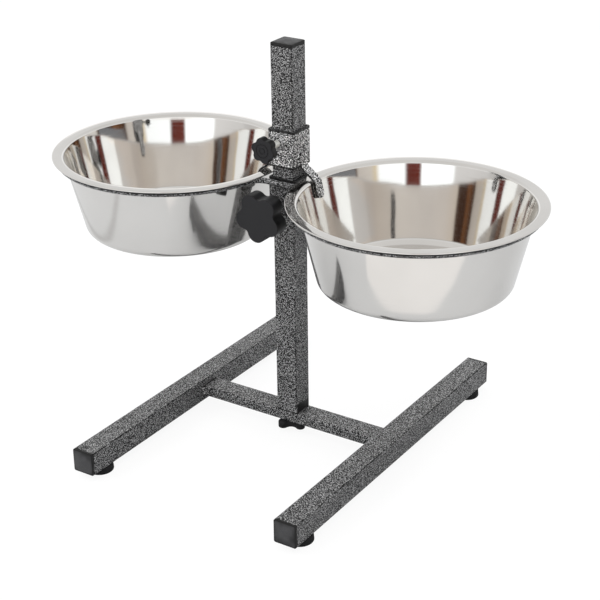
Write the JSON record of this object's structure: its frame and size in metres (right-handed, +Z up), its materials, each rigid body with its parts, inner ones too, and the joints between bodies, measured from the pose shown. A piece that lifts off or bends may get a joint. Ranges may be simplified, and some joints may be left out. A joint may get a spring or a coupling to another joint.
{
  "type": "dog feeder stand",
  "caption": "Height-adjustable dog feeder: H-shaped tube base, upright post, clamped sliding carrier with bowl rings, stainless bowls and a hooked retainer collar.",
  "frame": {"origin": "on the floor under the middle of the whole stand", "axes": "+X to the right bowl, -Y to the front where the clamp knobs point, +Z up along the post"},
  "size_m": [0.565, 0.411, 0.4455],
  "materials": {
    "paint": "silver-grey hammertone paint",
    "cap_plastic": "black moulded, satin",
    "foot_rubber": "black, matt",
    "knob_plastic": "black moulded, satin",
    "zinc": "zinc-plated steel",
    "stainless": "mirror-polished stainless steel"
  },
  "bodies": {
    "base": {"left_leg": "paint", "right_leg": "paint", "crossbar": "paint", "base_welds": "paint", "front_left_cap": "cap_plastic", "front_right_cap": "cap_plastic", "rear_left_cap": "cap_plastic", "rear_right_cap": "cap_plastic", "front_left_foot": "foot_rubber", "front_right_foot": "foot_rubber", "rear_left_foot": "foot_rubber", "rear_right_foot": "foot_rubber", "post": "paint", "post_nut_plate": "zinc", "post_cap": "cap_plastic"},
    "base_clamp": {"base_knob": "knob_plastic", "base_screw": "zinc"},
    "carrier": {"carrier_collar": "paint", "left_ring": "paint", "right_ring": "paint", "ring_welds": "paint", "height_nut": "paint"},
    "height_clamp": {"height_knob": "knob_plastic", "height_screw": "zinc"},
    "retainer": {"retainer_collar": "paint", "left_hook": "paint", "right_hook": "paint", "hook_welds": "paint", "retainer_nut": "paint"},
    "retainer_clamp": {"retainer_knob": "knob_plastic", "retainer_screw": "zinc"},
    "left_dish": {"left_bowl": "stainless"},
    "right_dish": {"right_bowl": "stainless"}
  },
  "joints": [
    {"name": "carrier_height", "type": "slide", "parent": "base", "child": "carrier", "axis": [0, 0, 1], "range_m": [-0.175, 0.04]},
    {"name": "retainer_lift", "type": "slide", "parent": "carrier", "child": "retainer", "axis": [0, 0, 1], "range_m": [0, 0.045]},
    {"name": "height_knob_turn", "type": "hinge", "parent": "carrier", "child": "height_clamp", "pos_m": [0, -0.025, 0.273], "axis": [0, -1, 0], "range_deg": [0, 720]},
    {"name": "retainer_knob_turn", "type": "hinge", "parent": "retainer", "child": "retainer_clamp", "pos_m": [0, -0.025, 0.342], "axis": [0, -1, 0], "range_deg": [0, 720]},
    {"name": "base_knob_turn", "type": "hinge", "parent": "base", "child": "base_clamp", "pos_m": [0, 0.006, 0.01], "axis": [0, 0, -1], "range_deg": [0, 720]},
    {"name": "left_bowl_turn", "type": "hinge", "parent": "carrier", "child": "left_dish", "pos_m": [-0.151, 0.006, 0.301], "axis": [0, 0, 1], "continuous": true},
    {"name": "right_bowl_turn", "type": "hinge", "parent": "carrier", "child": "right_dish", "pos_m": [0.151, 0.006, 0.301], "axis": [0, 0, 1], "continuous": true}
  ]
}
